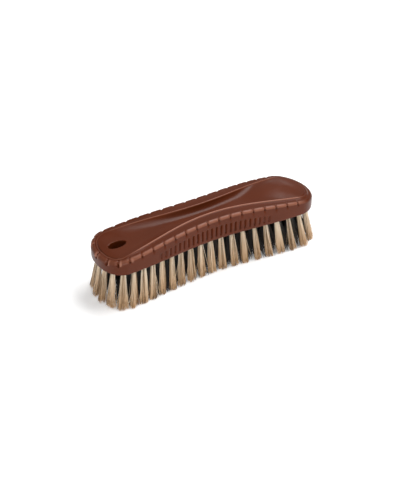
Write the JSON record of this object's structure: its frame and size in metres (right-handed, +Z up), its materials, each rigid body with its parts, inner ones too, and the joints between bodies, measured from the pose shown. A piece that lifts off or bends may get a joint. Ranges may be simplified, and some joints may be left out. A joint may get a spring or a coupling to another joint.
{
  "type": "clothes brush",
  "caption": "Hand clothes brush: waisted arched plastic block with finger channel and hanging slot, light outer and black inner bristle tufts.",
  "frame": {"origin": "middle of the brush's box in X and Y, at the plane of the bristle tips", "axes": "+X along the brush from the hanging slot to the palm end, +Y across it, +Z up from the tips to the arched top"},
  "size_m": [0.1746, 0.0482, 0.0444],
  "materials": {
    "block_plastic": "satin",
    "light_bristle": "satin",
    "black_bristle": "satin",
    "anchor_steel": "satin"
  },
  "bodies": {
    "root": {"block": "block_plastic", "inner_anchors": "anchor_steel", "inner_tufts_1": "black_bristle", "inner_tufts_2": "black_bristle", "inner_tufts_3": "black_bristle", "inner_tufts_4": "black_bristle", "inner_tufts_5": "black_bristle", "inner_tufts_6": "black_bristle", "outer_anchors": "anchor_steel", "outer_tuft_01": "light_bristle", "outer_tuft_02": "light_bristle", "outer_tuft_03": "light_bristle", "outer_tuft_04": "light_bristle", "outer_tuft_05": "light_bristle", "outer_tuft_06": "light_bristle", "outer_tuft_07": "light_bristle", "outer_tuft_08": "light_bristle", "outer_tuft_09": "light_bristle", "outer_tuft_10": "light_bristle", "outer_tuft_11": "light_bristle", "outer_tuft_12": "light_bristle", "outer_tuft_13": "light_bristle", "outer_tuft_14": "light_bristle", "outer_tuft_15": "light_bristle", "outer_tuft_16": "light_bristle", "outer_tuft_17": "light_bristle", "outer_tuft_18": "light_bristle", "outer_tuft_19": "light_bristle", "outer_tuft_20": "light_bristle", "outer_tuft_21": "light_bristle", "outer_tuft_22": "light_bristle", "outer_tuft_23": "light_bristle", "outer_tuft_24": "light_bristle", "outer_tuft_25": "light_bristle", "outer_tuft_26": "light_bristle", "outer_tuft_27": "light_bristle", "outer_tuft_28": "light_bristle", "outer_tuft_29": "light_bristle", "outer_tuft_30": "light_bristle", "outer_tuft_31": "light_bristle", "outer_tuft_32": "light_bristle", "outer_tuft_33": "light_bristle", "outer_tuft_34": "light_bristle", "outer_tuft_35": "light_bristle", "outer_tuft_36": "light_bristle", "outer_tuft_37": "light_bristle", "outer_tuft_38": "light_bristle", "outer_tuft_39": "light_bristle", "outer_tuft_40": "light_bristle", "outer_tuft_41": "light_bristle", "outer_tuft_42": "light_bristle", "outer_tuft_43": "light_bristle", "outer_tuft_44": "light_bristle"}
  },
  "joints": []
}
